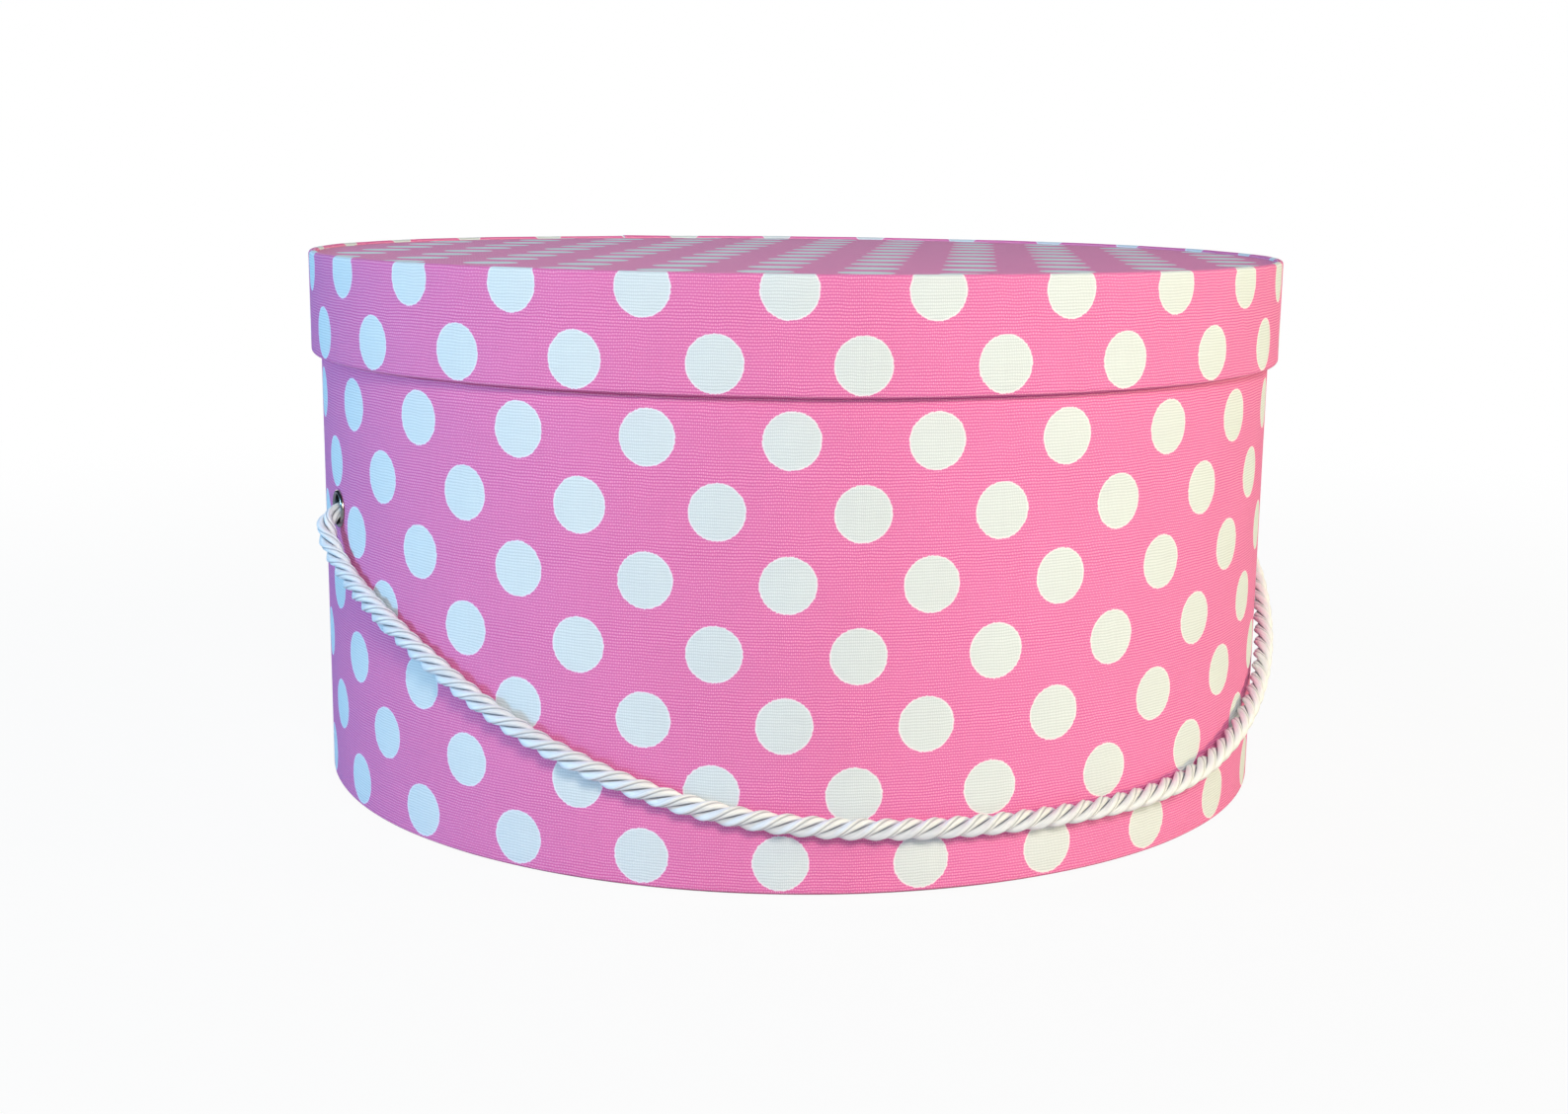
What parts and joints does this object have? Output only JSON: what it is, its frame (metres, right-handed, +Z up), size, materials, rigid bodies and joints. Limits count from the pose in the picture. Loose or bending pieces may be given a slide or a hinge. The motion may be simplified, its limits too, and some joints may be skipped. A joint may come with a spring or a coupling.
{
  "type": "hat box",
  "caption": "Round hat box of cloth-covered board with a lift-off lid, metal eyelets in the wall and a twisted rope handle that hangs round the front.",
  "frame": {"origin": "middle of the underside, where the box stands", "axes": "+Z up along the round box's axis, the two eyelets at -X and +X, the handle hangs round the -Y side"},
  "size_m": [0.4194, 0.4116, 0.218],
  "materials": {
    "dotted_canvas": "woven cotton canvas, printed with pale dots",
    "grey_board": "raw grey board",
    "ivory_lining": "matt lining paper",
    "gummed_tape": "gummed kraft tape",
    "nickel": "bright nickel plate",
    "satin_cord": "twisted satin rayon rope",
    "cord_wrap": "tight white thread binding"
  },
  "bodies": {
    "box": {"base_cover": "ivory_lining", "base_board": "grey_board", "wall_board": "grey_board", "body_fabric": "dotted_canvas", "wall_seam_tape": "gummed_tape", "wall_lining": "ivory_lining", "base_lining": "ivory_lining", "eyelet_left": "nickel", "eyelet_right": "nickel", "eyelet_washer_left": "nickel", "eyelet_washer_right": "nickel"},
    "lid": {"lid_rim_board": "grey_board", "lid_top_board": "grey_board", "lid_rim_fabric": "dotted_canvas", "lid_top_fabric": "dotted_canvas", "rim_seam_tape": "gummed_tape", "lid_rim_lining": "ivory_lining", "lid_top_lining": "ivory_lining"},
    "handle": {"handle_cord": "satin_cord", "knot_left": "satin_cord", "knot_right": "satin_cord", "cord_tail_left": "satin_cord", "cord_tail_right": "satin_cord", "cord_wrap_left": "cord_wrap", "cord_wrap_right": "cord_wrap"}
  },
  "joints": [
    {"name": "lid_lift", "type": "slide", "parent": "box", "child": "lid", "axis": [0, 0, 1], "range_m": [0, 0.12]},
    {"name": "handle_swing", "type": "hinge", "parent": "box", "child": "handle", "pos_m": [0, 0, 0.1183], "axis": [-1, 0, 0], "range_deg": [0, 45]}
  ]
}
